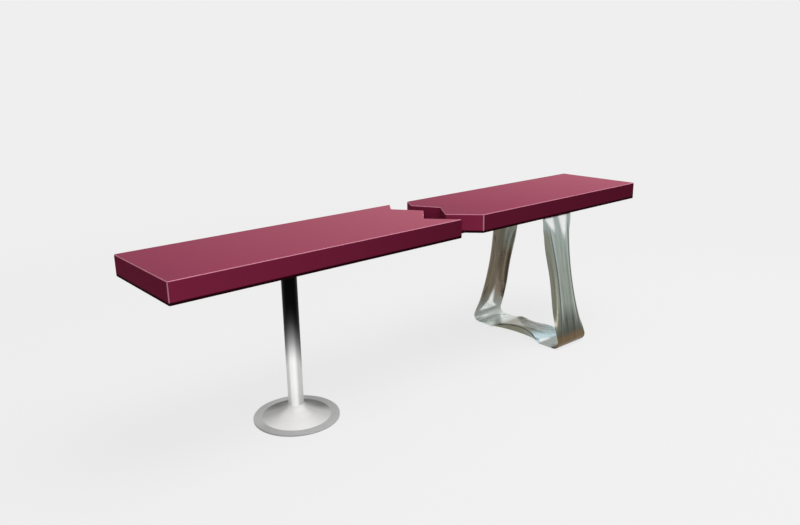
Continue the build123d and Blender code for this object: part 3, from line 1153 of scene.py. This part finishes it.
def plated(name, bright, dull):
    """A plated or turned metal with a faint cloud of dull patches."""
    finish, tree, shader, place = new_finish(name, metallic=1.0)
    grain, marks = add_grain(tree, place, grain_scale=1200.0, mark_scale=120.0)
    colour = blend_colours(tree, marks, bright, dull)
    roughness = remap(tree, marks, whole, plated_roughness)
    set_surface(tree, shader, colour, roughness, grain, strength=0.08, distance=0.0002)
    return finish


def hex_bolt(head_top_z, tip_z):
    """A turned blank whose head is cut to six flats, so that its chamfer leaves curved tops."""
    bottom_z = head_top_z - head_height
    blank = (
        (0.0, bottom_z),
        (head_face_radius, bottom_z),
        (head_blank_radius, bottom_z + head_chamfer),
        (head_blank_radius, head_top_z),
        (shank_radius, head_top_z),
        (shank_radius, tip_z - shank_end_round),
        (shank_radius - shank_end_round, tip_z),
        (0.0, tip_z),
    )
    bm = spun(blank, 0, bolt_steps, fixing_weld)
    for side in range(head_flats):
        turn = side * math.tau / head_flats
        flat = Vector((math.cos(turn), math.sin(turn), 0))
        cut = bmesh.ops.bisect_plane(
            bm,
            geom=bm.verts[:] + bm.edges[:] + bm.faces[:],
            dist=cut_tolerance,
            plane_co=flat * head_across_flats / 2,
            plane_no=flat,
            clear_outer=True,
        )
        rim = [part for part in cut["geom_cut"] if isinstance(part, bmesh.types.BMEdge)]
        bmesh.ops.edgeloop_fill(bm, edges=rim)
    return bm


def flat_washer(low_z, high_z):
    """A punched washer with a broken outer edge."""
    profile = (
        (washer_bore, low_z),
        (washer_radius - washer_chamfer, low_z),
        (washer_radius, low_z + washer_chamfer),
        (washer_radius, high_z - washer_chamfer),
        (washer_radius - washer_chamfer, high_z),
        (washer_bore, high_z),
        (washer_bore, low_z),
    )
    return spun(profile, 0, washer_steps, fixing_weld)


def fixing_set(name, node, bm, points, finish):
    """Copies one fixing to each of its places, as one piece."""
    bmesh.ops.recalc_face_normals(bm, faces=bm.faces)
    single = bpy.data.meshes.new("fixing")
    bm.to_mesh(single)
    bm.clear()
    for x, y in points:
        before = len(bm.verts)
        bm.from_mesh(single)
        bm.verts.ensure_lookup_table()
        bmesh.ops.translate(bm, verts=bm.verts[before:], vec=(x, y, 0))
    bpy.data.meshes.remove(single)
    keep_crisp(bm, fixing_crisp_turn)
    piece = new_piece(name, bm, finish)
    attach(piece, "root")
    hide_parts(node)


bright_zinc = plated("bright_zinc", zinc_bright, zinc_dull)
turned_brass = plated("turned_brass", brass_plain, brass_dull)
for support, points in (("pedestal", pedestal_points), ("leg", tab_points), ("rail", rail_points)):
    bolt_low, bolt_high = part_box(f"{support}_bolts")
    washer_low, washer_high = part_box(f"{support}_washers")
    bolt = hex_bolt(bolt_low.z + head_height, bolt_high.z)
    fixing_set(f"{support}_hex_bolts", f"{support}_bolts", bolt, points, bright_zinc)
    ring = flat_washer(washer_low.z, washer_high.z)
    fixing_set(f"{support}_flat_washers", f"{support}_washers", ring, points, bright_zinc)
    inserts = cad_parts[f"{support}_inserts"]
    inserts.data.materials.clear()
    inserts.data.materials.append(turned_brass)

# Stage: a plain pale floor that runs into a pale surround, lit by one large soft light from above
# the front right, a weaker one from the left and an even surround.
surround = (0.863, 0.863, 0.863, 1)
surround_light = (0.47, 1.0)
floor_size = 30.0
floor_parts = 8
floor_drop = 0.0005
floor_bounce = (0.42, 0.42, 0.42, 1)
floor_shadow = (0.13, 0.0)
floor_shadow_reach = (1.0, 3.0)


def seen_directly(tree):
    """True for rays from the camera, from reflections and through glass."""
    rays = add_node(tree, "ShaderNodeLightPath").outputs
    seen = combine(tree, "MAXIMUM", rays["Is Camera Ray"], rays["Is Glossy Ray"])
    return combine(tree, "MAXIMUM", seen, rays["Is Transmission Ray"])


def mix_shaders(tree, factor, first, second):
    """Mixes two shaders by a factor."""
    node = add_node(tree, "ShaderNodeMixShader")
    for index, socket in enumerate((factor, first, second)):
        feed(tree, node, index, socket)
    return node.outputs["Shader"]


def pale_floor():
    """A floor of the surround's colour that still takes a soft shadow near the bench."""
    finish, tree, shader, place = new_finish("pale_floor", metallic=0.0)
    tree.nodes.remove(shader)
    plain = add_node(tree, "ShaderNodeEmission", {"Color": surround}).outputs["Emission"]
    shaded = add_node(tree, "ShaderNodeBsdfDiffuse", {"Color": surround}).outputs["BSDF"]
    bounce = add_node(tree, "ShaderNodeBsdfDiffuse", {"Color": floor_bounce}).outputs["BSDF"]
    shadow = remap(tree, measure(tree, "LENGTH", place), floor_shadow_reach, floor_shadow)
    seen = mix_shaders(tree, shadow, plain, shaded)
    choice = mix_shaders(tree, seen_directly(tree), bounce, seen)
    feed(tree, tree.nodes["Material Output"], "Surface", choice)
    return finish


bm = bmesh.new()
bmesh.ops.create_grid(bm, x_segments=floor_parts, y_segments=floor_parts, size=floor_size)
bmesh.ops.translate(bm, verts=bm.verts, vec=(0, 0, -floor_drop))
floor = new_piece("floor", bm, pale_floor())

world = bpy.data.worlds.new("pale_surround")
bpy.context.scene.world = world
world.use_nodes = True
sky = world.node_tree
background = sky.nodes["Background"]
feed(sky, background, "Color", surround)
feed(sky, background, "Strength", remap(sky, seen_directly(sky), whole, surround_light))


def soft_light(name, place, target, size, power):
    """A large square light aimed at a point."""
    lamp = bpy.data.lights.new(name, "AREA")
    lamp.shape = "SQUARE"
    lamp.size = size
    lamp.energy = power
    holder = bpy.data.objects.new(name, lamp)
    aim = (Vector(target) - Vector(place)).to_track_quat("-Z", "Y")
    holder.matrix_world = Matrix.Translation(place) @ aim.to_matrix().to_4x4()
    bpy.context.scene.collection.objects.link(holder)


soft_light("key_light", place=(1.2, -1.6, 4.6), target=(0.0, 0.0, 0.3), size=3.6, power=195.0)
soft_light("fill_light", place=(-2.4, -3.0, 1.5), target=(-0.2, 0.0, 0.3), size=1.6, power=30.0)

# Camera: a little above the seat in front of the left end, looking along the bench to the right
# and down, so that the top, the front and the left end show.
camera_place = (-1.3100, -1.4520, 0.8634)
camera_pitch = math.radians(15.672)
camera_azimuth = math.radians(40.091)
camera_roll = math.radians(-0.9655)
camera_lens = 33.203
camera_sensor = 36.0
turned = Matrix.Rotation(-camera_azimuth, 4, "Z")
tilted = Matrix.Rotation(math.pi / 2 - camera_pitch, 4, "X")
rolled = Matrix.Rotation(camera_roll, 4, "Z")
camera = bpy.data.objects.new("camera", bpy.data.cameras.new("camera"))
camera.data.sensor_width = camera_sensor
camera.data.lens = camera_lens
camera.matrix_world = Matrix.Translation(camera_place) @ turned @ tilted @ rolled
bpy.context.scene.collection.objects.link(camera)
bpy.context.scene.camera = camera
bpy.context.scene.view_settings.view_transform = "Standard"
